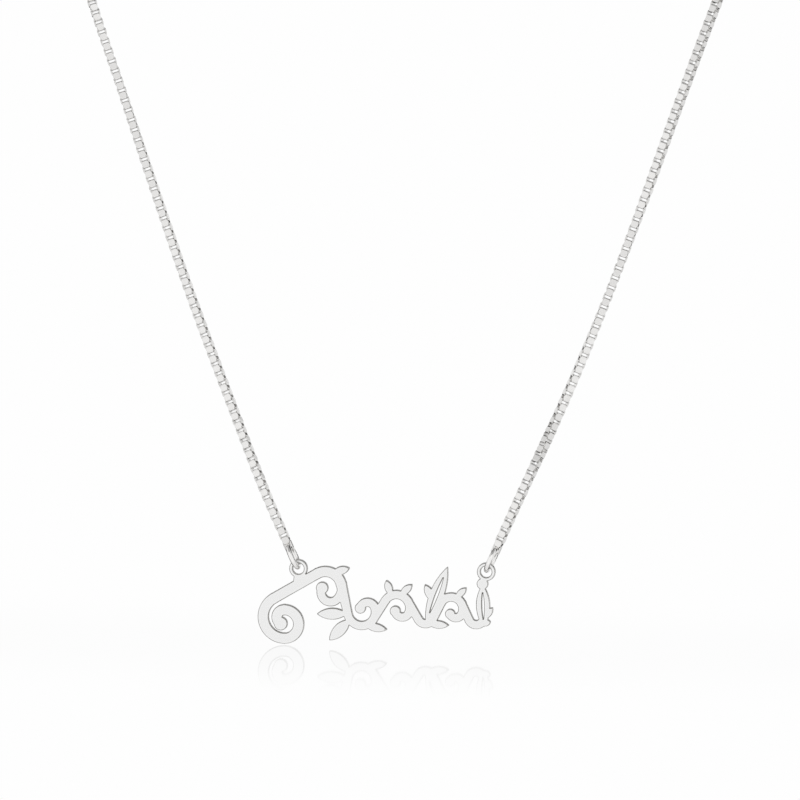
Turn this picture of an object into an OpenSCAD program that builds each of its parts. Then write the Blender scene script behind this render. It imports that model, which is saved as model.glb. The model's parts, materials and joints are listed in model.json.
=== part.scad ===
// Necklace in worn form: a flat openwork scroll plate hangs from a box chain by two jump rings,
// and the chain runs round the neck to a spring ring clasp at the nape. Millimetres.
// +Z is up, the front looks along -Y, and the origin is the middle of the nape.

/* [Plate] */
// Distance between the centres of the two eyelets
eyelet_span = 25.6; // [24.5:0.1:27]
// Width of the whole plate
plate_w = 31.6; // [29:0.1:34]
// Height of the scroll work, from the level of the eyelets down
plate_h = 10.3; // [9:0.1:12]
// Thickness of the plate
plate_t = 1; // [0.7:0.05:1.1]
// Width of the broad strokes at the left
broad_w = 1.5; // [1.3:0.05:1.6]
// Width of the finer strokes and tendrils
fine_w = 1.25; // [1.1:0.05:1.35]
// Width of the largest leaf
leaf_w = 2; // [1.6:0.1:2.3]
// Room round the jump ring's wire in each eyelet
eyelet_play = 0.4; // [0.38:0.01:0.5]
// Width of the metal round each eyelet's hole
eyelet_rim = 0.5; // [0.45:0.05:0.65]
// Radius of the flat bead under the right eyelet
bead_r = 0.78; // [0.6:0.02:0.9]

/* [Jump rings] */
// Outer diameter of the two jump rings that carry the plate
jump_d = 3.95; // [3.85:0.05:4.3]
// Wire of the two jump rings
jump_wire = 0.7; // [0.6:0.01:0.72]
// Lean of each jump ring from upright, in line with the chain
jump_lean = 24; // [22:1:28]

/* [Chain] */
// Width and depth of the box chain
chain_w = 1.2; // [1.15:0.05:1.3]
// Thickness of the strip that the links are bent from
strip_t = 0.2; // [0.14:0.01:0.2]
// Width of the strip that the links are bent from
strip_w = 0.76; // [0.6:0.01:0.76]
// Width of the loop at its widest, between the chain's centre lines
loop_w = 100.8; // [90:0.2:112]
// Height of the nape above the plate's jump rings
drop = 122; // [110:1:140]
// Depth of the loop, from the plate back to the nape
loop_depth = 98; // [90:1:110]

/* [Clasp] */
// Outer diameter of the spring ring
clasp_d = 5.8; // [5.2:0.1:7]
// Thickness of the spring ring's tube
clasp_tube = 1.1; // [0.9:0.05:1.3]
// Wire of the clasp's eye, the back ring and the catch ring
clasp_wire = 0.5; // [0.4:0.01:0.55]
// Outer diameter of the eye soldered to the spring ring
clasp_eye_d = 2.4; // [2.2:0.1:3]
// Outer diameter of the ring between the clasp and the right end of the chain
back_ring_d = 3.2; // [3:0.1:4]
// Outer diameter of the ring on the left end that the clasp hooks into
catch_ring_d = 4.2; // [4:0.1:5]
// Length of the clasp's thumb lever
lever_l = 1; // [0.7:0.1:1.4]

/* [Hidden] */
$fn = 64;

// Gap between pieces that hang in each other
gap = 0.1;
// Gap between the end of a chain and its end link, and beside the wire in an end link
seam = 0.02;
side_gap = 0.075;
// Room along an end link beyond the wire that hangs in it
link_play = 0.25;
// How far the clasp's eye and lever are sunk into its tube
solder = 0.15;

// The plate is drawn flat, x to the right and y up, from the middle of the line between the eyelets.
// Where the plate's left edge lies, as a share of its width
LEFT_SHARE = -0.578;
// The vine turns round these circles: centre as a share of the plate's width from its left edge,
// level of the stroke's outer edge as a share of the height, radius as a share of the width,
// 1 where the level is its top or -1 its bottom, and 1 where the vine turns left or -1 right
VINE = [
    [0.112, -1.00, 0.092, -1, -1],
    [0.290,  0.04, 0.070,  1, -1],
    [0.446, -0.80, 0.060, -1,  1],
    [0.597, -0.26, 0.057,  1, -1],
    [0.722, -0.76, 0.035, -1,  1],
    [0.833, -0.28, 0.050,  1, -1],
    [0.940, -0.76, 0.033, -1,  1]
];
LAST = len(VINE) - 1;
// The first two turns of the vine are in the broad stroke
BROAD_TURNS = 2;
// Headings where the vine starts, along the bottom of the first volute, and where it ends
START_HEADING = 180;
END_HEADING = 80;
// Tendrils that curl on inside a turn: which turn, 1 from its far end or -1 back from its start,
// curls of [share of the turn's radius, degrees], and the eye's radius as a share of it
TENDRILS = [
    [0, -1, [[0.67, 180], [0.35, 150]], 0.32],
    [1,  1, [[1, 55], [0.58, 165]], 0.38],
    [2,  1, [[1, 50], [0.54, 150]], 0.4],
    [3,  1, [[1, 50], [0.54, 150]], 0.41],
    [5,  1, [[1, 55], [0.54, 125]], 0.44]
];
// Leaves on the outside of a turn: which turn, the vine's heading at the stalk, the leaf's own
// direction, its length as a share of the plate's width, and its width as a share of leaf_w
LEAVES = [
    [2, -80, 181, 0.135, 0.80],
    [2, -56, 226, 0.130, 0.85],
    [2,  12, -10, 0.100, 0.60],
    [1, -24,  16, 0.080, 0.60],
    [3,  24, 108, 0.070, 0.55],
    [3, -16,  42, 0.070, 0.55],
    [4,  12,  -4, 0.095, 0.58],
    [5, -22,  44, 0.065, 0.50],
    [6,  34,   8, 0.045, 0.50],
    [6,  74,  52, 0.065, 0.50]
];
// The tall leaf grows from the bottom of this turn, with a side leaf on its left
TALL_TURN = 4;
// Tip of the tall leaf, as shares of the plate's width and height
TALL_TIP = [0.818, 0.065];
// Side leaf: where it leaves the tall one, its direction, length and width as above
SIDE_LEAF = [0.38, 118, 0.085, 0.6];
// Pierced vein of a large leaf: length and width as shares of the leaf's own
VEIN = [0.62, 0.16];
// Extra radius of the disc that joins two strokes, so that their ends are well inside it
JOINT_EXTRA = 0.02;

// Middle points of the right half of the chain, from front to back: sideways, back from the
// plate and up from the jump rings, at the width, depth and drop of ROUTE_SIZE
ROUTE = [
    [22.9, 3.4, 21.2], [28.3, 5.3, 34.6], [33.2, 6.7, 48], [37.9, 7.8, 61.4],
    [42.7, 9.3, 74.7], [46.8, 13.2, 85.6], [49.4, 21, 95.6], [50.4, 33, 103.6],
    [49.4, 46, 109.8], [46.4, 59, 114.4], [41.4, 71, 117.6], [34.2, 82.4, 119.8],
    [24, 92, 121.3]
];
ROUTE_SIZE = [100.8, 98, 122];
// Length of the straight stretch at each end of a chain
STRAIGHT = 5;
// Rings of eight points along each chain's tube
RINGS = 40;
SIDES = 8;

// From a ring's centre to a bar that hangs inside it, for a ring of this inner radius
function seat(inner_r, half_depth) = sqrt(pow(inner_r - gap, 2) - half_depth * half_depth);
function inner_r(ring_d, wire) = ring_d / 2 - wire;

eyelet_bore_r = jump_wire / 2 + eyelet_play;
eyelet_r = eyelet_bore_r + eyelet_rim;
hang = [sin(jump_lean), 0, cos(jump_lean)];
eyelet_reach = seat(inner_r(jump_d, jump_wire), plate_t / 2) + eyelet_bore_r;
jump_x = eyelet_span / 2 + eyelet_reach * hang[0];
front = [0, -loop_depth, -drop];

// How far an end link reaches from the centre of the ring it hangs in
function link_start(ring_inner) = seat(ring_inner, strip_w / 2) - strip_t;
function link_end(ring_inner, wire) = link_start(ring_inner) + link_length(wire);
function link_length(wire) = wire + link_play + 2 * strip_t;
front_link_end = link_end(inner_r(jump_d, jump_wire), jump_wire);

// The clasp's pieces lie in a row along x: distances from the centre of the spring ring
clasp_r = (clasp_d - clasp_tube) / 2;
eye_r = (clasp_eye_d - clasp_wire) / 2;
eye_x = clasp_d / 2 + eye_r - solder;
back_inner = inner_r(back_ring_d, clasp_wire);
catch_inner = inner_r(catch_ring_d, clasp_wire);
back_x = eye_x + eye_r + back_inner - gap - clasp_wire / 2;
catch_x = clasp_r + catch_inner - gap - clasp_tube / 2;
right_reach = back_x + link_end(back_inner, clasp_wire);
left_reach = catch_x + link_end(catch_inner, clasp_wire);
// The row is centred, so that both halves of the chain end as far from the middle
clasp_x = (left_reach - right_reach) / 2;
nape_x = (left_reach + right_reach) / 2;

// Plate

function on_plate(shares) = [(LEFT_SHARE + shares[0]) * plate_w, shares[1] * plate_h];
function turn_w(i) = i < BROAD_TURNS ? broad_w : fine_w;
function radius(i) = VINE[i][2] * plate_w;
function side(i) = VINE[i][4];
function centre(i) = on_plate(VINE[i]) - [0, VINE[i][3] * (radius(i) + turn_w(i) / 2)];
function heading_after(i) = let (
        d = centre(i + 1) - centre(i),
        offset = side(i + 1) * radius(i + 1) - side(i) * radius(i)
    ) atan2(d[1], d[0]) - asin(offset / norm(d));
function heading_in(i) = i == 0 ? START_HEADING : heading_after(i - 1);
function heading_out(i) = i == LAST ? END_HEADING : heading_after(i);
function sweep(i) = let (turned = side(i) * (heading_out(i) - heading_in(i)))
    turned - 360 * floor(turned / 360);
// From a circle's middle to where a stroke round it has the given heading
function spoke(r, turn_side, heading) = turn_side * r * [sin(heading), -cos(heading)];
function on_vine(i, heading) = centre(i) + spoke(radius(i), side(i), heading);
function toward(degrees) = [cos(degrees), sin(degrees)];
// Height of the straight stroke after turn i, at a given x
function stroke_y(i, x) = let (p = on_vine(i, heading_out(i)))
    p[1] + (x - p[0]) * tan(heading_out(i));

left = [-eyelet_span / 2, 0];
right = [eyelet_span / 2, 0];
bead = right - [eyelet_r * 0.4, eyelet_r + bead_r * 0.5];
bud = on_vine(LAST, END_HEADING) - [0, fine_w];
bud_w = leaf_w * 0.95;
tall_root = on_vine(TALL_TURN, 0);
tall_tip = on_plate(TALL_TIP);

module stroke_arc(middle, r, from_heading, turn_side, turned, w) {
    first = from_heading - turn_side * 90 - (turn_side < 0 ? turned : 0);
    translate([middle[0], middle[1], 0])
        rotate([0, 0, first])
            rotate_extrude(angle = turned)
                translate([r - w / 2, -plate_t / 2])
                    square([w, plate_t]);
}

module stroke_line(p, q, w_start, w_end) {
    d = q - p;
    translate([p[0], p[1], -plate_t / 2])
        rotate([0, 0, atan2(d[1], d[0])])
            linear_extrude(plate_t)
                polygon([[0, -w_start / 2], [norm(d), -w_end / 2],
                         [norm(d), w_end / 2], [0, w_start / 2]]);
}

module disc(middle, r) {
    translate([middle[0], middle[1], -plate_t / 2])
        cylinder(r = r, h = plate_t);
}

module joint(p, w) {
    disc(p, w / 2 + JOINT_EXTRA);
}

// A leaf from its stalk to its tip: two arcs that meet, with blunted ends
module leaf(stalk, tip, w, height = plate_t) {
    d = tip - stalk;
    half = norm(d) / 2;
    r = (half * half + w * w / 4) / w;
    blunt = 0.97;
    translate([stalk[0] + d[0] / 2, stalk[1] + d[1] / 2, -height / 2])
        rotate([0, 0, atan2(d[1], d[0])])
            linear_extrude(height)
                intersection() {
                    translate([0, r - w / 2]) circle(r = r, $fn = 128);
                    translate([0, w / 2 - r]) circle(r = r, $fn = 128);
                    circle(r = half * blunt);
                }
}

module vine() {
    for (i = [0 : LAST]) {
        w = turn_w(i);
        end = on_vine(i, heading_out(i));
        stroke_arc(centre(i), radius(i), heading_in(i), side(i), sweep(i), w);
        joint(on_vine(i, heading_in(i)), w);
        joint(end, w);
        if (i < LAST)
            stroke_line(end, on_vine(i + 1, heading_out(i)), w, turn_w(i + 1));
    }
}

// Curls one inside the other, each starting where the one before it ends
module curls(start, heading, curl_side, unit_r, w, rows, eye, k = 0) {
    if (k < len(rows)) {
        r = rows[k][0] * unit_r;
        next = heading + curl_side * rows[k][1];
        middle = start - spoke(r, curl_side, heading);
        end = middle + spoke(r, curl_side, next);
        stroke_arc(middle, r, heading, curl_side, rows[k][1], w);
        joint(end, w);
        curls(end, next, curl_side, unit_r, w, rows, eye, k + 1);
    } else {
        disc(start, eye * unit_r);
    }
}

module tendrils() {
    for (row = TENDRILS) {
        i = row[0];
        onward = row[1] > 0;
        heading = onward ? heading_out(i) : heading_in(i);
        curls(on_vine(i, heading), heading + (onward ? 0 : 180), side(i) * row[1], radius(i),
              onward ? fine_w : turn_w(i), row[2], row[3]);
    }
}

module leaves() {
    for (row = LEAVES) {
        stalk = on_vine(row[0], row[1]);
        leaf(stalk, stalk + row[3] * plate_w * toward(row[2]), row[4] * leaf_w);
    }
    leaf(tall_root, tall_tip, leaf_w);
    fork = tall_root + (tall_tip - tall_root) * SIDE_LEAF[0];
    leaf(fork, fork + SIDE_LEAF[2] * plate_w * toward(SIDE_LEAF[1]), SIDE_LEAF[3] * leaf_w);
}

// What carries the scroll work: a stub to the left eyelet, and a bud and bead to the right one
module carriers() {
    stroke_line(left - [0, eyelet_r - eyelet_rim / 2], [left[0], stroke_y(0, left[0])],
                fine_w, broad_w);
    disc(left, eyelet_r);
    disc(right, eyelet_r);
    disc(bead, bead_r);
    leaf(bud, bead, bud_w);
}

// A slim slot right through the middle of a leaf
module vein(stalk, tip, w) {
    half = (tip - stalk) * VEIN[0] / 2;
    middle = (stalk + tip) / 2;
    leaf(middle - half, middle + half, w * VEIN[1], 2 * plate_t);
}

module nameplate() {
    color("silver")
        translate(front - [0, 0, eyelet_reach * hang[2]])
            rotate([90, 0, 0])
                difference() {
                    union() {
                        vine();
                        tendrils();
                        leaves();
                        carriers();
                    }
                    vein(tall_root, tall_tip, leaf_w);
                    vein(bud, bead, bud_w);
                    for (s = [-1, 1])
                        translate([s * eyelet_span / 2, 0, -plate_t])
                            cylinder(r = eyelet_bore_r, h = 2 * plate_t);
                }
}

// Rings and links

module ring(outer_d, wire) {
    rotate_extrude()
        translate([(outer_d - wire) / 2, 0])
            circle(d = wire, $fn = 32);
}

// A link bent from flat strip, from z = 0 up, open along y, for a wire of this thickness
module end_link(wire) {
    inside = wire + 2 * side_gap;
    length = link_length(wire);
    translate([-inside / 2 - strip_t, -strip_w / 2, 0])
        difference() {
            cube([inside + 2 * strip_t, strip_w, length]);
            translate([strip_t, -strip_w / 2, strip_t])
                cube([inside, 2 * strip_w, length - 2 * strip_t]);
        }
}

module at_jump_ring(s) {
    translate(front + [s * jump_x, 0, 0])
        rotate([0, s * jump_lean, 0])
            children();
}

module jump_ring(s) {
    color("silver") at_jump_ring(s) rotate([0, 90, 0]) ring(jump_d, jump_wire);
}

module front_link(s) {
    color("silver")
        at_jump_ring(s)
            translate([0, 0, link_start(inner_r(jump_d, jump_wire))])
                end_link(jump_wire);
}

module back_link(s) {
    ring_x = s > 0 ? clasp_x + back_x : clasp_x - catch_x;
    start = link_start(s > 0 ? back_inner : catch_inner);
    color("silver")
        translate([ring_x + s * start, 0, 0])
            rotate([0, s * 90, 0])
                end_link(clasp_wire);
}

module back_ring() {
    color("silver") translate([clasp_x + back_x, 0, 0]) ring(back_ring_d, clasp_wire);
}

module catch_ring() {
    color("silver") translate([clasp_x - catch_x, 0, 0]) ring(catch_ring_d, clasp_wire);
}

module clasp() {
    lever_r = clasp_tube * 0.3;
    color("silver")
        translate([clasp_x, 0, 0])
            rotate([90, 0, 0]) {
                ring(clasp_d, clasp_tube);
                translate([eye_x, 0, 0]) ring(clasp_eye_d, clasp_wire);
                rotate([0, 0, 60])
                    translate([clasp_d / 2 - solder, 0, 0])
                        rotate([0, 90, 0]) {
                            cylinder(r = lever_r, h = lever_l);
                            translate([0, 0, lever_l]) sphere(r = lever_r * 1.3);
                        }
            }
}

// Chain

function unit(v) = v / norm(v);
chain_front = front + [jump_x, 0, 0] + hang * (front_link_end + seam);
chain_back = [nape_x + seam, 0, 0];
loop_size = [loop_w, loop_depth, drop];
knots = concat(
    [chain_front, chain_front + STRAIGHT * hang],
    [for (p = ROUTE) front + [for (k = [0 : 2]) p[k] * loop_size[k] / ROUTE_SIZE[k]]],
    [chain_back + [STRAIGHT, 0, 0], chain_back]
);
KNOTS = len(knots);
spans = [for (i = [0 : KNOTS - 2]) norm(knots[i + 1] - knots[i])];
function sum_to(list, n) = n <= 0 ? 0 : list[n - 1] + sum_to(list, n - 1);
marks = [for (i = [0 : KNOTS - 1]) sum_to(spans, i)];
chords = [for (i = [0 : KNOTS - 2]) (knots[i + 1] - knots[i]) / spans[i]];
slopes = [for (i = [0 : KNOTS - 1])
    i == 0 ? chords[0] : i == KNOTS - 1 ? chords[KNOTS - 2]
    : (chords[i] * spans[i - 1] + chords[i - 1] * spans[i]) / (spans[i - 1] + spans[i])
];
function span_at(s, i = 0) = i >= KNOTS - 2 || s < marks[i + 1] ? i : span_at(s, i + 1);
// Point and direction of the smooth route at length s along its chords
function route_point(s) = let (i = span_at(s), d = spans[i], t = (s - marks[i]) / d)
    (2 * t * t * t - 3 * t * t + 1) * knots[i] + (t * t * t - 2 * t * t + t) * d * slopes[i]
    + (3 * t * t - 2 * t * t * t) * knots[i + 1] + (t * t * t - t * t) * d * slopes[i + 1];
function route_way(s) = let (i = span_at(s), d = spans[i], t = (s - marks[i]) / d)
    unit((6 * t * t - 6 * t) * (knots[i] - knots[i + 1]) / d
         + (3 * t * t - 4 * t + 1) * slopes[i] + (3 * t * t - 2 * t) * slopes[i + 1]);
// The face that looks forward at the plate looks up at the nape
function face_way(share, way) = let (aim = [0, share - 1, share])
    unit(aim - (aim * way) * way);

section = let (h = chain_w / 2, c = h - strip_t)
    [[h, -c], [h, c], [c, h], [-c, h], [-h, c], [-h, -c], [-c, -h], [c, -h]];

module chain_half() {
    length = marks[KNOTS - 1];
    points = [for (k = [0 : RINGS - 1])
        let (
            share = k / (RINGS - 1),
            way = route_way(share * length),
            n = face_way(share, way),
            across = cross(way, n)
        )
        for (p = section) route_point(share * length) + p[0] * n + p[1] * across
    ];
    polyhedron(
        points,
        concat(
            [[for (j = [0 : SIDES - 1]) j]],
            [[for (j = [SIDES - 1 : -1 : 0]) (RINGS - 1) * SIDES + j]],
            [for (k = [0 : RINGS - 2]) for (j = [0 : SIDES - 1])
                let (a = k * SIDES + j, b = k * SIDES + (j + 1) % SIDES)
                [a, a + SIDES, b + SIDES, b]]
        )
    );
}

module chain(s) {
    color("silver") mirror([s < 0 ? 1 : 0, 0, 0]) chain_half();
}

nameplate();
jump_ring(-1);  // jump_ring_left
jump_ring(1);  // jump_ring_right
front_link(-1);  // front_link_left
front_link(1);  // front_link_right
chain(-1);  // chain_left
chain(1);  // chain_right
back_link(-1);  // back_link_left
back_link(1);  // back_link_right
back_ring();
catch_ring();
clasp();
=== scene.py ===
# Looks of a silver necklace: a flat openwork scroll plate on two jump rings and a fine box chain.
# Metres, +Z up, the front looks along -Y, and the origin is the middle of the nape.
# The plate's outlines and the points of the chain's route are in millimetres.
import json
import math
import random

import bmesh
import bpy
import numpy as np
from mathutils import Matrix, Vector
from mathutils.geometry import delaunay_2d_cdt


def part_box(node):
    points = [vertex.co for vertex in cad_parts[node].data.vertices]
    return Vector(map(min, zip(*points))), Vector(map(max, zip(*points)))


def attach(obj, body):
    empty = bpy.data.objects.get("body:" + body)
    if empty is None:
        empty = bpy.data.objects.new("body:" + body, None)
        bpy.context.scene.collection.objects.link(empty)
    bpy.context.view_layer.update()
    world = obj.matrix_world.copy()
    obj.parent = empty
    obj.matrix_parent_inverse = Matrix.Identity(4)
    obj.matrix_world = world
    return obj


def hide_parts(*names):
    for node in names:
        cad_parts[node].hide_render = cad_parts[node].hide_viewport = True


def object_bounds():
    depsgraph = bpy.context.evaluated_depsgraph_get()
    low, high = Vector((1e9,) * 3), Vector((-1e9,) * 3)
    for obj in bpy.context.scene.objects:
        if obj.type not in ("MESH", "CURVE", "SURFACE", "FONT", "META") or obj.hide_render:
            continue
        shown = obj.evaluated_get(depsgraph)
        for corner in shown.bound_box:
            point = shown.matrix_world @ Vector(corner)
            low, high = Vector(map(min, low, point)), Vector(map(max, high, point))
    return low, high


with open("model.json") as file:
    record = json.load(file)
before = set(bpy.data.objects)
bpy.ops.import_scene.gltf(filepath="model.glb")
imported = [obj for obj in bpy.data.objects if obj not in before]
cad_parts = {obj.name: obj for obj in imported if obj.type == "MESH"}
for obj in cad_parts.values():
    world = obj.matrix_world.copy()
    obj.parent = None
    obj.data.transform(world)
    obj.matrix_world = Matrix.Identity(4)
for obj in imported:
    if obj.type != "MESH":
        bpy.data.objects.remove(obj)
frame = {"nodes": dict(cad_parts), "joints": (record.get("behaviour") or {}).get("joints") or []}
cad_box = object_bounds()

MM = 0.001
NECKLACE = "necklace"
PENDANT = "pendant"

# Side of the square that the chain fills, and the strip that its links are bent from
CHAIN_W = 1.2 * MM
STRIP_T = 0.2 * MM
STRIP_W = 0.76 * MM
# The chain is drawn through a square die, which spreads the faces of its links to this width
FACE_W = 0.98 * MM
# Places along a face where its spread is drawn, as shares of half its length
FACE_SHARES = (0.85, 0.55, 0, -0.55, -0.85)
# Outer radius of a link's bends, and the steps that each is drawn with
BEND_R = 0.24 * MM
BEND_STEPS = 4
# Bevel along the strip's edges
STRIP_EDGE = 0.025 * MM
# Sides of the strip's section, counted from its outer face, and the two that the shears cut, which get
# a rougher finish painted a little darker, a painted shade along the links' edges
STRIP_SIDES = 8
CUT_SIDES = (2, 6)
# Round back of the end links' half-round wire: its height and its steps
ROUND_BACK = 0.14 * MM
ROUND_STEPS = 10
# Length and width of the end links
FRONT_LINK = (1.35 * MM, 1.25 * MM)
BACK_LINK = (1.15 * MM, 1.05 * MM)
LINK_PITCH = 0.7 * MM
# Length to each side of a link over which the chain's direction there is taken
WAY_STEP = 0.2 * MM
# Gap between the end of a chain's tube in the frame and its end link
SEAM = 0.02 * MM
# How far a link may turn about the chain and lean along it, in degrees
LINK_TURN = 1.6
LINK_LEAN = 0.5
LINK_SEED = 11

# Twist of each half of the chain, left and right: shares of its length from the plate to the nape,
# and degrees. The right half makes a quarter turn on its way down, most of it just above the plate.
TWIST = {
    -1: [(0, 0), (0.04, -8), (0.2, -9), (0.26, -7), (0.33, 0), (0.41, 6), (0.6, 0), (1, 0)],
    1: [(0, 78), (0.052, 74), (0.062, 66), (0.076, 44), (0.088, 28), (0.115, 23), (0.142, 18),
        (0.17, 11), (0.2, 7), (0.26, -8), (0.33, -12), (0.41, -14), (0.6, 0), (1, 0)],
}

# Rings: outer diameter and wire
JUMP_RING = (3.95 * MM, 0.7 * MM)
BACK_RING = (3.2 * MM, 0.5 * MM)
CATCH_RING = (4.2 * MM, 0.5 * MM)
# Lean of the chain's ends and of the jump rings in them, from upright
JUMP_LEAN = math.radians(24)
# How far each jump ring, left and right, is turned about its hang
JUMP_TURN = {-1: 0, 1: math.radians(4.5)}
# Width of the fine cut where a ring's wire ends meet, and how far those ends are rounded
RING_CUT = 0.03 * MM
ROUND_END = 0.06 * MM

# Radius of the plate's eased edges in millimetres, and the angles round it, in degrees, that get
# a row of points
EASE = 0.25
EASE_ROWS = (30, 60, 90)
# The outer part of the easing, up to this share of it, gets the sawn edges' rougher finish and their
# greyer tone, which is painted shade drawing a dark outline along the plate's edges
DULL_AND_SHADED_SHARE = 0.6
# Longest step along the plate's outline in millimetres, the most it may turn, and the turn that
# makes a corner
OUTLINE_STEP = 0.3
OUTLINE_TURN = math.radians(8)
CORNER_TURN = math.radians(30)
# A chord this many times longer than its neighbour is a straight that the neighbour's arc meets
STRAIGHT_RATIO = 2.5
# A face looks forward or back if its normal has at least this share along Y
FACING = 0.5
# Points closer than this are one: on the frame's plate, on a ring, and in the plate's own faces,
# the last in millimetres
SAME_ON_PLATE = 0.002 * MM
SAME_ON_RING = 0.0001 * MM
SAME_ON_FACE = 1e-5
# Share of its depth that an inset point has to be away from all of the outline
INSET_SHARE = 0.97
# How far a normal is taken from a triangle's corner, as a share of the way to its middle
PROBE_SHARE = 0.05
# Points that are measured against the outline at a time
BATCH = 512

# Route of the right half of the chain, as the frame has it, in millimetres: sideways from the
# middle, back from the plate and up from the jump rings
ROUTE = [
    (22.9, 3.4, 21.2), (28.3, 5.3, 34.6), (33.2, 6.7, 48), (37.9, 7.8, 61.4),
    (42.7, 9.3, 74.7), (46.8, 13.2, 85.6), (49.4, 21, 95.6), (50.4, 33, 103.6),
    (49.4, 46, 109.8), (46.4, 59, 114.4), (41.4, 71, 117.6), (34.2, 82.4, 119.8),
    (24, 92, 121.3),
]
# Length at each end of the route that runs straight on
STRAIGHT = 5 * MM

# Gap between the plate and the floor, the floor's radius, and the light that the room gives all round
FLOOR_GAP = 0.1 * MM
FLOOR_RADIUS = 12
ROOM = 0.85


def linear(hex_colour):
    """An sRGB hex colour as linear RGBA."""
    parts = [int(hex_colour[i:i + 2], 16) / 255 for i in (1, 3, 5)]
    return [p / 12.92 if p <= 0.04045 else ((p + 0.055) / 1.055) ** 2.4 for p in parts] + [1]


def add(tree, kind, links=None, **settings):
    """Adds a node: settings are its properties, and links gives each input a value or a socket."""
    new = tree.nodes.new(kind)
    for name, value in settings.items():
        setattr(new, name, value)
    for name, value in (links or {}).items():
        if isinstance(value, bpy.types.NodeSocket):
            tree.links.new(value, new.inputs[name])
        else:
            new.inputs[name].default_value = value
    return new


# Finishes

def silver(name, tone, grain_mm, stretch, rough, scratch_mm, cloud_mm):
    """Sterling silver: a clean, faintly warm white metal. Fine lines from rolling, drawing or
    rubbing are drawn out along the axis with the least stretch value, and the polish varies
    softly over a millimetre or more. Real lines are finer than 0.02 mm. They are drawn grain_mm
    apart, several times coarser, so that they show."""
    # The lines and the clouds add up to about this much, from the best polish to the dullest
    polish_low, polish_high = 0.6, 1.4
    material = bpy.data.materials.new(name)
    material.use_nodes = True
    tree = material.node_tree
    tree.nodes.clear()
    place = add(tree, "ShaderNodeTexCoord").outputs["Object"]
    along = add(tree, "ShaderNodeMapping", {"Vector": place, "Scale": stretch})
    lines = add(tree, "ShaderNodeTexNoise", {
        "Vector": along.outputs["Vector"], "Scale": 1 / (grain_mm * MM), "Detail": 2})
    clouds = add(tree, "ShaderNodeTexNoise", {
        "Vector": place, "Scale": 1 / (cloud_mm * MM), "Detail": 1})
    polish = add(tree, "ShaderNodeMath", {0: lines.outputs["Fac"], 1: clouds.outputs["Fac"]},
                 operation="ADD")
    roughness = add(tree, "ShaderNodeMapRange", {
        "Value": polish.outputs["Value"], "From Min": polish_low, "From Max": polish_high,
        "To Min": rough[0], "To Max": rough[1]})
    tint = add(tree, "ShaderNodeMix", {
        "Factor": clouds.outputs["Fac"], "A": linear(tone[0]), "B": linear(tone[1])},
        data_type="RGBA")
    bump = add(tree, "ShaderNodeBump", {
        "Height": lines.outputs["Fac"], "Strength": 1.0, "Distance": scratch_mm * MM})
    shader = add(tree, "ShaderNodeBsdfPrincipled", {
        "Base Color": tint.outputs["Result"], "Metallic": 1.0,
        "Roughness": roughness.outputs["Result"], "Normal": bump.outputs["Normal"]})
    add(tree, "ShaderNodeOutputMaterial", {"Surface": shader.outputs["BSDF"]})
    return material


def lit_acrylic(plate_at):
    """White acrylic sheet lit from below: an even white glow, and a faint mirror where it is
    polished, in a strip under the plate that fades out to both sides."""
    polished, matt = 4 * MM, 50 * MM
    mirror_share, mirror_rough = 0.28, 0.05
    material = bpy.data.materials.new("lit_white_acrylic")
    material.use_nodes = True
    tree = material.node_tree
    tree.nodes.clear()
    place = add(tree, "ShaderNodeTexCoord").outputs["Object"]
    along = add(tree, "ShaderNodeSeparateXYZ", {"Vector": place}).outputs["Y"]
    away = add(tree, "ShaderNodeMath", {0: along, 1: plate_at}, operation="SUBTRACT")
    away = add(tree, "ShaderNodeMath", {0: away.outputs["Value"]}, operation="ABSOLUTE")
    polish = add(tree, "ShaderNodeMapRange", {
        "Value": away.outputs["Value"], "From Min": polished, "From Max": matt,
        "To Min": mirror_share, "To Max": 0.0}, interpolation_type="SMOOTHSTEP")
    glow = add(tree, "ShaderNodeEmission", {"Color": linear("#FEFEFE"), "Strength": 1.0})
    mirror = add(tree, "ShaderNodeBsdfGlossy", {
        "Color": linear("#FFFFFF"), "Roughness": mirror_rough})
    both = add(tree, "ShaderNodeMixShader", {
        "Fac": polish.outputs["Result"], 1: glow.outputs["Emission"], 2: mirror.outputs["BSDF"]})
    add(tree, "ShaderNodeOutputMaterial", {"Surface": both.outputs["Shader"]})
    return material


# Chain

def face_way(share, way):
    """The way that the face of an untwisted link looks, at a share of the chain's length: forward
    at the plate, and turning until it is up at the nape."""
    aim = np.array([0, share - 1, share])
    face = aim - aim.dot(way) * way
    return face / np.linalg.norm(face)


def strip_section(half):
    """Across flat strip, from its outer face round: the reach from a bend's centre, the place
    across, and the normal, outwards and aside."""
    outer, inner = BEND_R, BEND_R - STRIP_T
    return [
        (outer, -half + STRIP_EDGE, 1, 0), (outer, half - STRIP_EDGE, 1, 0),
        (outer - STRIP_EDGE, half, 0, 1), (inner + STRIP_EDGE, half, 0, 1),
        (inner, half - STRIP_EDGE, -1, 0), (inner, -half + STRIP_EDGE, -1, 0),
        (inner + STRIP_EDGE, -half, 0, -1), (outer - STRIP_EDGE, -half, 0, -1),
    ]


def half_round_section(half):
    """Across half-round wire with its flat side inwards, in the same terms."""
    outer, inner = BEND_R, BEND_R - STRIP_T
    section = []
    for step in range(ROUND_STEPS + 1):
        turn = math.pi * step / ROUND_STEPS
        out, side = math.sin(turn) / ROUND_BACK, -math.cos(turn) / half
        size = math.hypot(out, side)
        section.append((outer - ROUND_BACK * (1 - math.sin(turn)), -half * math.cos(turn),
                        out / size, side / size))
    return section + [
        (inner + STRIP_EDGE, half, 0, 1), (inner, half - STRIP_EDGE, -1, 0),
        (inner, -half + STRIP_EDGE, -1, 0), (inner + STRIP_EDGE, -half, 0, -1),
    ]


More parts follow.
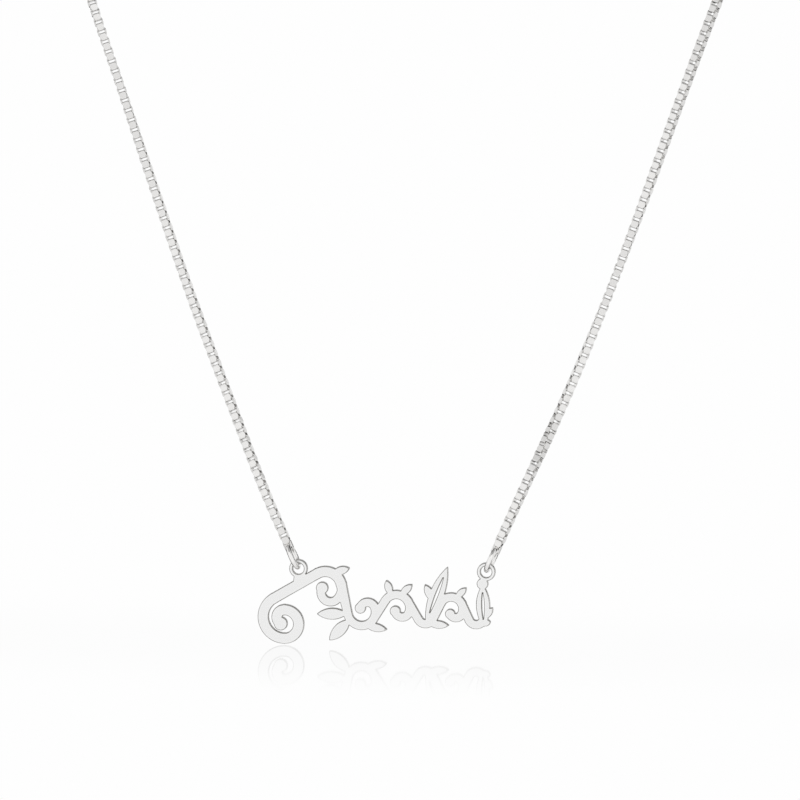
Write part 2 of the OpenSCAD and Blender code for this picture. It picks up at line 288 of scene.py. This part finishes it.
def strip_loop(length, width, face_width, section_of=strip_section):
    """A closed loop of strip or wire round a rounded rectangle: u along the length, v along the
    width and w along the hole, as points, their true normals and quads. Its two long faces spread
    to the face width at their middle, and less with the cube of the way from there."""
    flat = length / 2 - BEND_R
    spread = (face_width - STRIP_W) / 2
    # Each row across the strip: its bend's centre, the way it looks, and its place along a face
    rows = []
    for su, sv, first in [(1, 1, 0), (-1, 1, 90), (-1, -1, 180), (1, -1, 270)]:
        centre = (su * flat, sv * (width / 2 - BEND_R))
        rows += [(*centre, first + 90 * step / BEND_STEPS, 1) for step in range(BEND_STEPS + 1)]
        if spread and first in (0, 180):
            rows += [(share * centre[0], centre[1], first + 90, share) for share in FACE_SHARES]
    points, normals = [], []
    for u, v, angle, share in rows:
        cos, sin = math.cos(math.radians(angle)), math.sin(math.radians(angle))
        half = STRIP_W / 2 + spread * (1 - abs(share) ** 3)
        slope = 3 * spread / flat * share ** 2 * math.copysign(1, u) if abs(share) < 1 else 0
        section = section_of(half)
        for reach, w, out, side in section:
            points.append((u + reach * cos, v + reach * sin, w))
            normal = np.array([out * cos + abs(side) * slope, out * sin, side])
            normals.append(normal / np.linalg.norm(normal))
    around = len(section)
    quads = []
    for i in range(len(rows)):
        for j in range(around):
            a = i * around + j
            b = i * around + (j + 1) % around
            c = (i + 1) % len(rows) * around + (j + 1) % around
            d = (i + 1) % len(rows) * around + j
            quads.append((a, d, c, b))
    return np.array(points), np.array(normals), np.array(quads)


def mesh_piece(name, points, normals, quads, materials, body, slot, *nodes):
    """A smooth piece with the given true normals that replaces CAD nodes. It has one material, or a
    bright one and a second for the strip's cut edges, rougher and painted a little darker as painted
    shade along them."""
    mesh = bpy.data.meshes.new(name)
    mesh.from_pydata(points.tolist(), [], quads.tolist())
    for material in materials:
        mesh.materials.append(material)
    if len(materials) > 1:
        # The cut sides take the second material, whose darker tone is painted shade
        sides = np.arange(len(quads)) % STRIP_SIDES
        mesh.polygons.foreach_set("material_index", np.isin(sides, CUT_SIDES).astype(np.int32))
    mesh.shade_smooth()
    mesh.normals_split_custom_set_from_vertices(normals.tolist())
    piece = bpy.data.objects.new(name, mesh)
    bpy.context.scene.collection.objects.link(piece)
    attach(piece, body)
    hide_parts(*nodes)
    return piece


def chain_knots(ring_x, ring_level, start_reach, nape_end):
    """Knots of the right half's route, from the plate to the nape."""
    hang = np.array([math.sin(JUMP_LEAN), 0, math.cos(JUMP_LEAN)])
    front = np.array([0, ring_level[0], ring_level[1]])
    first = front + [ring_x, 0, 0] + hang * start_reach
    middle = [front + np.array(p) * MM for p in ROUTE]
    last = np.array([nape_end, 0, 0])
    return np.array([first, first + STRAIGHT * hang] + middle + [last + [STRAIGHT, 0, 0], last])


def route(knots, count=4000):
    """Points along the smooth route, and the length up to each, with both ends drawn out straight."""
    spans = np.linalg.norm(np.diff(knots, axis=0), axis=1)
    chords = np.diff(knots, axis=0) / spans[:, None]
    inner = ((chords[1:] * spans[:-1, None] + chords[:-1] * spans[1:, None])
             / (spans[:-1] + spans[1:])[:, None])
    slopes = np.vstack([chords[:1], inner, chords[-1:]])
    marks = np.concatenate([[0], np.cumsum(spans)])
    s = np.linspace(0, marks[-1], count)
    i = np.clip(np.searchsorted(marks, s, side="right") - 1, 0, len(spans) - 1)
    d = spans[i][:, None]
    t = ((s - marks[i]) / spans[i])[:, None]
    points = ((2 * t**3 - 3 * t**2 + 1) * knots[i] + (t**3 - 2 * t**2 + t) * d * slopes[i]
              + (3 * t**2 - 2 * t**3) * knots[i + 1] + (t**3 - t**2) * d * slopes[i + 1])
    lengths = np.concatenate([[0], np.cumsum(np.linalg.norm(np.diff(points, axis=0), axis=1))])
    return points, lengths


def chain_piece(name, side, knots, materials, chance):
    """Half of the chain: nearly square links, each turned a quarter from the last, that interlock."""
    points, lengths = route(knots)
    total = lengths[-1]
    # How far the first and the last link reach past the route, into the end links
    lead = 2 * STRIP_T + SEAM
    # The link at each end stands across its end link, so a quarter turn takes one link more
    quarter = round(TWIST[side][0][1] / 90)
    room = total + 2 * (lead - STRIP_T)
    count = 2 * round(room / LINK_PITCH / 2) + quarter
    pitch = room / count
    link, link_normals, link_quads = strip_loop(pitch + 2 * STRIP_T, CHAIN_W, FACE_W)
    all_points, all_normals, all_quads = [], [], []
    mirror = np.array([side, 1, 1])
    for k in range(count):
        s = STRIP_T - lead + (k + 0.5) * pitch
        near = min(max(s, 0), total)
        before, after = max(near - WAY_STEP, 0), min(near + WAY_STEP, total)
        here, low, high = (
            np.array([np.interp(at, lengths, points[:, axis]) for axis in range(3)])
            for at in (near, before, after)
        )
        way = (high - low) / np.linalg.norm(high - low)
        here = (here + (s - near) * way) * mirror
        way = way * mirror
        plain = face_way(near / total, way)
        twist = math.radians(np.interp(near / total, *zip(*TWIST[side])))
        face = math.cos(twist) * plain + math.sin(twist) * np.cross(way, plain)
        across = np.cross(way, face)
        u, v, w = (way, face, across) if k % 2 == quarter else (way, across, -face)
        turn = math.radians(chance.uniform(-LINK_TURN, LINK_TURN))
        lean = math.radians(chance.uniform(-LINK_LEAN, LINK_LEAN))
        turned = (Matrix((u, v, w)).transposed() @ Matrix.Rotation(turn, 3, "X")
                  @ Matrix.Rotation(lean, 3, "Z"))
        axes = np.array(turned).T
        all_points.append(link @ axes + here)
        all_normals.append(link_normals @ axes)
        all_quads.append(link_quads + k * len(link))
    mesh_piece(name, np.vstack(all_points), np.vstack(all_normals), np.vstack(all_quads),
               materials, NECKLACE, "chain_silver", name.replace("box_links", "chain"))


def end_link_piece(name, length, width, way, material):
    """The longer link at an end of the chain, of half-round wire and open along Y."""
    low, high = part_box(name)
    points, normals, quads = strip_loop(length, width, STRIP_W, half_round_section)
    up = np.array(way)
    hole = np.array([0, 1, 0])
    axes = np.array([up, np.cross(hole, up), hole])
    centre = np.array((low + high) / 2)
    mesh_piece("bent_" + name, points @ axes + centre, normals @ axes, quads,
               [material], NECKLACE, "chain_silver", name)


# Rings

def ring_piece(name, size, axis, cut_way, material):
    """A round wire ring, bent from a straight length of wire, whose two ends meet at a fine cut."""
    outer_d, wire = size
    around, along = 20, 96
    r = (outer_d - wire) / 2
    low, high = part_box(name)
    centre = np.array((low + high) / 2)
    axis = np.array(axis) / np.linalg.norm(axis)
    first = np.array(cut_way) - np.dot(cut_way, axis) * axis
    first = first / np.linalg.norm(first)
    second = np.cross(axis, first)
    half_cut = RING_CUT / 2 / r
    # Sections from one face of the cut to the other, with the wire's ends slightly rounded
    end = [(0, 0.0), (0, 1 - ROUND_END / wire * 2), (ROUND_END / r, 1.0)]
    between = [(half_cut + (2 * math.pi - 2 * half_cut) * i / along, 1.0) for i in range(1, along)]
    sections = ([(half_cut + a, share) for a, share in end] + between
                + [(2 * math.pi - half_cut - a, share) for a, share in reversed(end)])
    points, normals = [], []
    for angle, share in sections:
        out = math.cos(angle) * first + math.sin(angle) * second
        for j in range(around):
            turn = 2 * math.pi * j / around
            way = math.cos(turn) * out + math.sin(turn) * axis
            points.append(centre + r * out + share * wire / 2 * way)
            normals.append(way)
    quads = []
    for i in range(len(sections) - 1):
        for j in range(around):
            a = i * around + j
            b = i * around + (j + 1) % around
            quads.append((a, a + around, b + around, b))
    piece = mesh_piece("round_" + name, np.array(points), np.array(normals), np.array(quads),
                       [material], NECKLACE, "wire_silver", name)
    shape = bmesh.new()
    shape.from_mesh(piece.data)
    bmesh.ops.remove_doubles(shape, verts=shape.verts, dist=SAME_ON_RING)
    shape.to_mesh(piece.data)
    shape.free()


# Plate

def outline_loops(mesh):
    """Outlines of the plate's front face in millimetres, x and z, with the metal on their left."""
    shape = bmesh.new()
    shape.from_mesh(mesh)
    bmesh.ops.remove_doubles(shape, verts=shape.verts, dist=SAME_ON_PLATE)
    shape.normal_update()
    follows = {}
    for face in shape.faces:
        if face.normal.y > -FACING:
            continue
        for corner in face.loops:
            if any(abs(other.normal.y) < FACING for other in corner.edge.link_faces):
                follows[corner.vert] = corner.link_loop_next.vert
    loops = []
    while follows:
        vert = next(iter(follows))
        loop = []
        while vert in follows:
            loop.append((vert.co.x / MM, vert.co.z / MM))
            vert = follows.pop(vert)
        loops.append(np.array(loop))
    shape.free()
    return loops


def unit(vectors):
    """The vectors at length 1."""
    return vectors / np.linalg.norm(vectors, axis=-1, keepdims=True)


def right_of(ways):
    """The ways turned a quarter to their right."""
    return np.stack([ways[..., 1], -ways[..., 0]], -1)


def smooth_outline(loop):
    """Rounds the short chords of an outline back into arcs and keeps its true corners. Gives the
    start of each step along it, the outward ways at its start and end, and which starts are corners."""
    chords = np.roll(loop, -1, 0) - loop
    sizes = np.linalg.norm(chords, axis=1)
    ways = chords / sizes[:, None]
    count = len(loop)
    corner = [math.acos(np.clip(ways[i - 1] @ ways[i], -1, 1)) > CORNER_TURN for i in range(count)]
    tangents = []
    for i in range(count):
        if max(sizes[i - 1], sizes[i]) > STRAIGHT_RATIO * min(sizes[i - 1], sizes[i]):
            tangents.append(ways[i - 1] if sizes[i - 1] > sizes[i] else ways[i])
        else:
            tangents.append(unit(ways[i - 1] / sizes[i - 1] + ways[i] / sizes[i]))
    starts, firsts, seconds, corners = [], [], [], []
    for i in range(count):
        j = (i + 1) % count
        t0 = ways[i] if corner[i] else tangents[i]
        t1 = ways[i] if corner[j] else tangents[j]
        turn = math.acos(np.clip(t0 @ t1, -1, 1))
        steps = max(1, math.ceil(sizes[i] / OUTLINE_STEP), math.ceil(turn / OUTLINE_TURN))
        u = np.linspace(0, 1, steps + 1)[:, None]
        a, b = t0 * sizes[i], t1 * sizes[i]
        points = ((2 * u**3 - 3 * u**2 + 1) * loop[i] + (u**3 - 2 * u**2 + u) * a
                  + (3 * u**2 - 2 * u**3) * loop[j] + (u**3 - u**2) * b)
        headings = ((6 * u**2 - 6 * u) * (loop[i] - loop[j]) + (3 * u**2 - 4 * u + 1) * a
                    + (3 * u**2 - 2 * u) * b)
        outward = right_of(unit(headings))
        starts.append(points[:-1])
        firsts.append(outward[:-1])
        seconds.append(outward[1:])
        corners += [corner[i]] + [False] * (steps - 1)
    return np.vstack(starts), np.vstack(firsts), np.vstack(seconds), np.array(corners)


class Outline:
    """All of the plate's outlines as one set of steps, with distances and outward ways to them."""

    def __init__(self, loops):
        parts = [smooth_outline(loop) for loop in loops]
        self.starts, self.firsts, self.seconds = (np.vstack([p[k] for p in parts]) for k in range(3))
        self.corners = np.concatenate([p[3] for p in parts])
        nexts, befores, done = [], [], 0
        for part in parts:
            order = done + np.arange(len(part[0]))
            nexts.append(np.roll(order, -1))
            befores.append(np.roll(order, 1))
            done += len(order)
        self.nexts = np.concatenate(nexts)
        self.befores = np.concatenate(befores)
        self.ends = self.starts[self.nexts]

    def nearest(self, points):
        """Distance from each point to the outline, and the outward way there."""
        reach, outward = np.empty(len(points)), np.empty((len(points), 2))
        chords = self.ends - self.starts
        squares = (chords ** 2).sum(1)
        for first in range(0, len(points), BATCH):
            some = points[first:first + BATCH, None, :]
            share = np.clip(((some - self.starts) * chords).sum(2) / squares, 0, 1)
            gaps = np.linalg.norm(some - self.starts - share[..., None] * chords, axis=2)
            best = gaps.argmin(1)
            row = np.arange(len(best))
            t = share[row, best][:, None]
            reach[first:first + BATCH] = gaps[row, best]
            outward[first:first + BATCH] = unit((1 - t) * self.firsts[best] + t * self.seconds[best])
        return reach, outward

    def inside(self, points):
        """Whether each point lies in the metal."""
        inside = np.empty(len(points), bool)
        x0, z0 = self.starts.T
        x1, z1 = self.ends.T
        for first in range(0, len(points), BATCH):
            x, z = points[first:first + BATCH].T[:, :, None]
            crosses = (z0 > z) != (z1 > z)
            with np.errstate(divide="ignore", invalid="ignore"):
                at = x0 + (z - z0) / (z1 - z0) * (x1 - x0)
            inside[first:first + BATCH] = (crosses & (x < at)).sum(1) % 2 == 1
        return inside

    def inset(self, depth):
        """Points this far inside the outline: one for each step, a mitre at each outer corner and a
        round of points about each inner one."""
        found = []
        for i, start in enumerate(self.starts):
            before, after = self.seconds[self.befores[i]], self.firsts[i]
            if not self.corners[i]:
                found.append(start - depth * after)
                continue
            turn = math.atan2(before[0] * after[1] - before[1] * after[0], before @ after)
            if turn > 0:
                found.append(start - depth * unit(before + after) / math.cos(turn / 2))
                continue
            steps = math.ceil(-turn / OUTLINE_TURN / 2)
            for k in range(steps + 1):
                angle = turn * k / steps
                cos, sin = math.cos(angle), math.sin(angle)
                way = np.array([cos * before[0] - sin * before[1], sin * before[0] + cos * before[1]])
                found.append(start - depth * way)
        found = np.array(found)
        reach, outward = self.nearest(found)
        return found[(reach > INSET_SHARE * depth) & self.inside(found)]


def plate_piece(face_material, wall_and_shade_material):
    """The scroll plate with its cut edges eased to a small round on both faces."""
    cad = frame["nodes"]["nameplate"].data
    front, back = (end.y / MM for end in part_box("nameplate"))
    outline = Outline(outline_loops(cad))
    rim = len(outline.starts)
    depths = [EASE * (1 - math.cos(math.radians(a))) for a in EASE_ROWS]
    points = np.vstack([outline.starts] + [outline.inset(depth) for depth in depths])
    edges = [(i, int(j)) for i, j in enumerate(outline.nexts)]
    found, _, faces, origins, _, _ = delaunay_2d_cdt(
        [Vector(p) for p in points], edges, [], 0, SAME_ON_FACE, True)
    flat = np.array(found)
    faces = np.array([f for f in faces if len(f) == 3])
    faces = faces[outline.inside(flat[faces].mean(1))]
    place = {first: here for here, those in enumerate(origins) for first in those}
    depth, _ = outline.nearest(flat)
    depth[[place[i] for i in range(rim)]] = 0
    out_share = 1 - np.minimum(depth / EASE, 1)
    face_share = np.sqrt(1 - out_share ** 2)
    sunk = EASE * (1 - face_share)
    count = len(flat)
    verts = np.vstack([np.column_stack([flat[:, 0], level + way * sunk, flat[:, 1]])
                       for level, way in ((front, 1), (back, -1))]) * MM
    corners = flat[faces]
    probes = corners + PROBE_SHARE * (corners.mean(1, keepdims=True) - corners)
    _, outward = outline.nearest(probes.reshape(-1, 2))
    spread = out_share[faces].reshape(-1, 1) * outward
    rise = face_share[faces].reshape(-1)
    front_normals = np.column_stack([spread[:, 0], -rise, spread[:, 1]])
    back_normals = (front_normals * [1, -1, 1]).reshape(-1, 3, 3)[:, ::-1].reshape(-1, 3)
    walls, wall_normals = [], []
    for i, j in edges:
        a, b = place[i], place[j]
        walls.append((a, a + count, b + count, b))
        first, second = outline.firsts[i], outline.seconds[i]
        wall_normals += [(first[0], 0, first[1])] * 2 + [(second[0], 0, second[1])] * 2
    mesh = bpy.data.meshes.new("scroll_plate")
    mesh.from_pydata(verts.tolist(), [], faces.tolist() + (faces[:, ::-1] + count).tolist() + walls)
    mesh.materials.append(face_material)
    mesh.materials.append(wall_and_shade_material)
    # The walls and the outer part of the easing get the sawn finish: rougher, and painted greyer as
    # painted shade along the outline
    dull_and_shaded = (depth[faces].max(1) < EASE * DULL_AND_SHADED_SHARE).astype(int).tolist()
    mesh.polygons.foreach_set("material_index", dull_and_shaded + dull_and_shaded + [1] * len(walls))
    mesh.shade_smooth()
    mesh.normals_split_custom_set(np.vstack([front_normals, back_normals, wall_normals]).tolist())
    piece = bpy.data.objects.new("scroll_plate", mesh)
    bpy.context.scene.collection.objects.link(piece)
    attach(piece, PENDANT)
    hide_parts("nameplate")


# Studio

def studio_world():
    """A white room with a bright panel in front, a dimmer ceiling, and black flags behind, up to
    the right and down to the left, which draw the edges of the wire."""
    # Each pair says where a part of the room begins and where it is full, by how far a way of
    # length 1 from the silver reaches along an axis, and a corner by the product of two such reaches
    panel, panel_middle = (0.58, 0.7), (0.93, 0.98)
    flag_corner, flag_steep = (0.03, 0.07), (0.41, 0.47)
    flag_side, flag_back = (0.25, 0.35), (0.15, 0.3)
    narrow_side, narrow_back, narrow_level = (-0.5, -0.6), (0.2, 0.3), (0.12, 0.09)
    ceiling_side, ceiling_level = (0.65, 0.5), (0.3, 0.45)
    horizon_back, horizon_low, horizon_high = (0.6, 0.75), (-0.02, 0.03), (0.22, 0.15)
    # How much darker the flags, the ceiling and the panel's middle are, and the horizon's light
    flag_dark, ceiling_dark, middle_dark, horizon_light = 0.97, 0.55, 0.12, 0.95
    world = bpy.data.worlds.new("soft_studio")
    bpy.context.scene.world = world
    world.use_nodes = True
    tree = world.node_tree
    tree.nodes.clear()
    way = add(tree, "ShaderNodeTexCoord").outputs["Generated"]
    parts = add(tree, "ShaderNodeSeparateXYZ", {"Vector": way}).outputs

    def fade(value, limits, most=1.0):
        """Rises from 0 to the most between two limits."""
        return add(tree, "ShaderNodeMapRange", {
            "Value": value, "From Min": limits[0], "From Max": limits[1], "To Min": 0.0,
            "To Max": most}, interpolation_type="SMOOTHSTEP").outputs["Result"]

    def join(operation, one, other=0.0):
        return add(tree, "ShaderNodeMath", {0: one, 1: other}, operation=operation).outputs["Value"]

    level = parts["Z"]
    front = join("MULTIPLY", parts["Y"], -1.0)
    in_front = join("SUBTRACT", fade(front, panel), fade(front, panel_middle, middle_dark))
    sideways = join("ABSOLUTE", parts["X"])
    # Flags behind: up to the right, down to the left, and above and below the silver's level
    corner = fade(join("MULTIPLY", parts["X"], level), flag_corner)
    steep = fade(join("ABSOLUTE", level), flag_steep)
    flags = join("MULTIPLY", join("MAXIMUM", corner, steep), fade(sideways, flag_side, flag_dark))
    flags = join("MULTIPLY", flags, fade(parts["Y"], flag_back))
    # A narrow one to the left
    narrow = join("MULTIPLY", fade(parts["X"], narrow_side, flag_dark),
                  fade(parts["Y"], narrow_back))
    narrow = join("MULTIPLY", narrow, fade(join("ABSOLUTE", level), narrow_level))
    flags = join("MAXIMUM", flags, narrow)
    ceiling = join("MULTIPLY", fade(sideways, ceiling_side, ceiling_dark),
                   fade(level, ceiling_level))
    # A low strip on the horizon, which the floor mirrors
    horizon = join("MULTIPLY", fade(parts["Y"], horizon_back, horizon_light),
                   join("MULTIPLY", fade(level, horizon_low), fade(level, horizon_high)))
    light = join("MULTIPLY", join("SUBTRACT", 1.0, join("MAXIMUM", flags, ceiling)), ROOM)
    for panel in (in_front, horizon):
        light = join("MAXIMUM", light, panel)
    seen = add(tree, "ShaderNodeLightPath").outputs["Is Camera Ray"]
    shown = add(tree, "ShaderNodeMix", {"Factor": seen, "A": light, "B": 1.0}, data_type="FLOAT")
    sky = add(tree, "ShaderNodeBackground", {"Color": shown.outputs["Result"]})
    add(tree, "ShaderNodeOutputWorld", {"Surface": sky.outputs["Background"]})


def studio_floor(level, plate_at):
    """A wide floor just under the plate."""
    mesh = bpy.data.meshes.new("floor")
    shape = bmesh.new()
    bmesh.ops.create_circle(shape, cap_ends=True, segments=64, radius=FLOOR_RADIUS)
    shape.to_mesh(mesh)
    shape.free()
    mesh.materials.append(lit_acrylic(plate_at))
    floor = bpy.data.objects.new("floor", mesh)
    floor.location = (0, 0, level)
    # The silver mirrors the panels alone
    floor.visible_glossy = False
    bpy.context.scene.collection.objects.link(floor)


def camera():
    """The photograph's view: a little from the right and from above."""
    azimuth, elevation = math.radians(8), math.radians(6)
    distance = 1.0
    field = 108 * MM
    aim_right, aim_up = 1.03 * MM, 21.3 * MM
    back = Vector((math.sin(azimuth) * math.cos(elevation),
                   -math.cos(azimuth) * math.cos(elevation), math.sin(elevation)))
    right = Vector((math.cos(azimuth), math.sin(azimuth), 0))
    up = back.cross(right)
    target = Vector(frame["joints"][0]["pos_m"]) + aim_right * right + aim_up * up
    data = bpy.data.cameras.new("camera")
    data.sensor_width = 36
    data.lens = data.sensor_width * distance / field
    data.clip_start = 0.01
    data.clip_end = 50
    seen = bpy.data.objects.new("camera", data)
    seen.location = target + distance * back
    seen.rotation_mode = "QUATERNION"
    seen.rotation_quaternion = (-back).to_track_quat("-Z", "Y")
    bpy.context.scene.collection.objects.link(seen)
    bpy.context.scene.camera = seen


scene = bpy.context.scene
scene.view_settings.view_transform = "Standard"
# The room gives all the light
for old in [o for o in scene.objects if o.type in ("LIGHT", "CAMERA")]:
    bpy.data.objects.remove(old)

# The plate's faces, rubbed sideways: soft and bright, with lines that hardly show
satin = silver("satin_rubbed_silver", tone=("#FAFAFA", "#F6F6F5"), grain_mm=0.16,
               stretch=(0.12, 1, 1), rough=(0.2, 0.28), scratch_mm=0.00015, cloud_mm=4.0)
# The plate's sawn edges: rough, with lines from face to face, and painted greyer, a painted shade that
# draws a dark outline along the plate's edges
cut = silver("saw_cut_shaded_silver", tone=("#DAD9D7", "#CCCBC8"), grain_mm=0.12,
             stretch=(1, 0.1, 1), rough=(0.35, 0.5), scratch_mm=0.004, cloud_mm=1.5)
# Strip from the rolls: bright, with faint lines
strip = silver("rolled_strip_silver", tone=("#F0EFEE", "#E9E8E6"), grain_mm=0.08,
               stretch=(1, 1, 0.3), rough=(0.14, 0.26), scratch_mm=0.0006, cloud_mm=1.2)
# The strip's sheared edges: rougher than its faces, and painted a little darker, a painted shade along
# the links' edges
sheared_and_shaded = silver("sheared_shaded_strip_silver", tone=("#E9E8E6", "#DEDDDB"), grain_mm=0.06,
                 stretch=(1, 1, 0.3), rough=(0.3, 0.42), scratch_mm=0.002, cloud_mm=1.2)
# Drawn wire, polished after it is bent: the brightest, and even all round
wire = silver("drawn_wire_silver", tone=("#FAF9F8", "#F4F3F1"), grain_mm=0.09,
              stretch=(1, 1, 1), rough=(0.1, 0.2), scratch_mm=0.0006, cloud_mm=1.5)

joint_at = frame["joints"][0]["pos_m"]
jump_low, jump_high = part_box("jump_ring_right")
ring_x = (jump_low.x + jump_high.x) / 2
hang = Vector((math.sin(JUMP_LEAN), 0, math.cos(JUMP_LEAN)))
link_low, link_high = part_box("front_link_right")
link_centre = (link_low + link_high) / 2
ring_at = Vector((ring_x, joint_at[1], joint_at[2]))
start_reach = (link_centre - ring_at).length + FRONT_LINK[0] / 2 + SEAM
nape_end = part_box("back_link_right")[1].x + SEAM
knots = chain_knots(ring_x, joint_at[1:], start_reach, nape_end)
chance = random.Random(LINK_SEED)
for side, name in ((-1, "left"), (1, "right")):
    way = (side * hang.x, 0, hang.z)
    chain_piece("box_links_" + name, side, knots, (strip, sheared_and_shaded), chance)
    end_link_piece("front_link_" + name, *FRONT_LINK, way, strip)
    end_link_piece("back_link_" + name, *BACK_LINK, (side, 0, 0), strip)
    turn = JUMP_TURN[side]
    axis = Vector((hang.z, 0, -side * hang.x)) * math.cos(turn) - Vector((0, math.sin(turn), 0))
    ring_piece("jump_ring_" + name, JUMP_RING, axis, (0, 1, 0), wire)
ring_piece("back_ring", BACK_RING, (0, 0, 1), (0, 1, 0), wire)
ring_piece("catch_ring", CATCH_RING, (0, 0, 1), (0, 1, 0), wire)
plate_piece(satin, cut)
clasp = frame["nodes"]["clasp"]
clasp.data.materials.clear()
clasp.data.materials.append(wire)

floor_level = cad_box[0].z - FLOOR_GAP
studio_world()
studio_floor(floor_level, joint_at[1])
camera()
